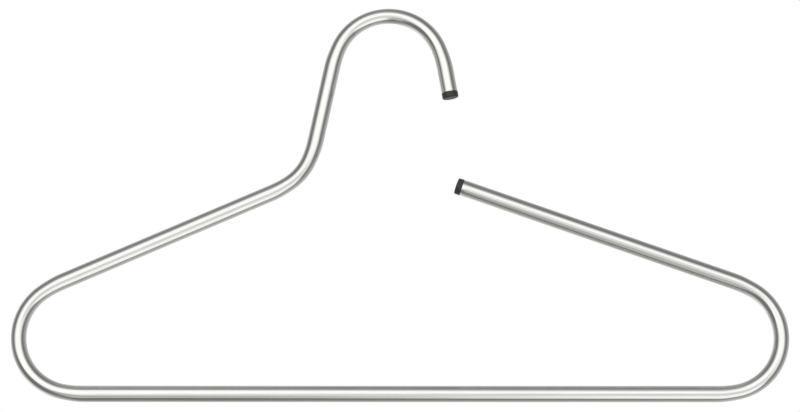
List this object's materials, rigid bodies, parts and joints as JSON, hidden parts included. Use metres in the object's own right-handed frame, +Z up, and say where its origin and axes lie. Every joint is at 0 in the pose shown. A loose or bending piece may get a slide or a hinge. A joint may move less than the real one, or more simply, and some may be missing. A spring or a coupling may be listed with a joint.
{
  "type": "trouser hanger",
  "caption": "Open-ended trouser hanger bent from round steel tube, with a hook, a level bar, sloping arms and a push-in plug in each tube end.",
  "frame": {"origin": "where the hook rests on its rail: the inner side of the tube at the crest of the hook, in the middle plane of the hanger", "axes": "+Z up as the hanger hangs, +X along the bar from the end below the neck towards the end of the free arm, +Y away from the front, square to the plane of the hanger"},
  "size_m": [0.4472, 0.0094, 0.2317],
  "materials": {
    "steel_tube": "satin brushed stainless steel, brushed along the tube",
    "plug_plastic": "black moulded plastic with a fine matt grain"
  },
  "bodies": {
    "root": {"bent_tube": "steel_tube", "hook_end_plug": "plug_plastic", "arm_end_plug": "plug_plastic"}
  },
  "joints": []
}
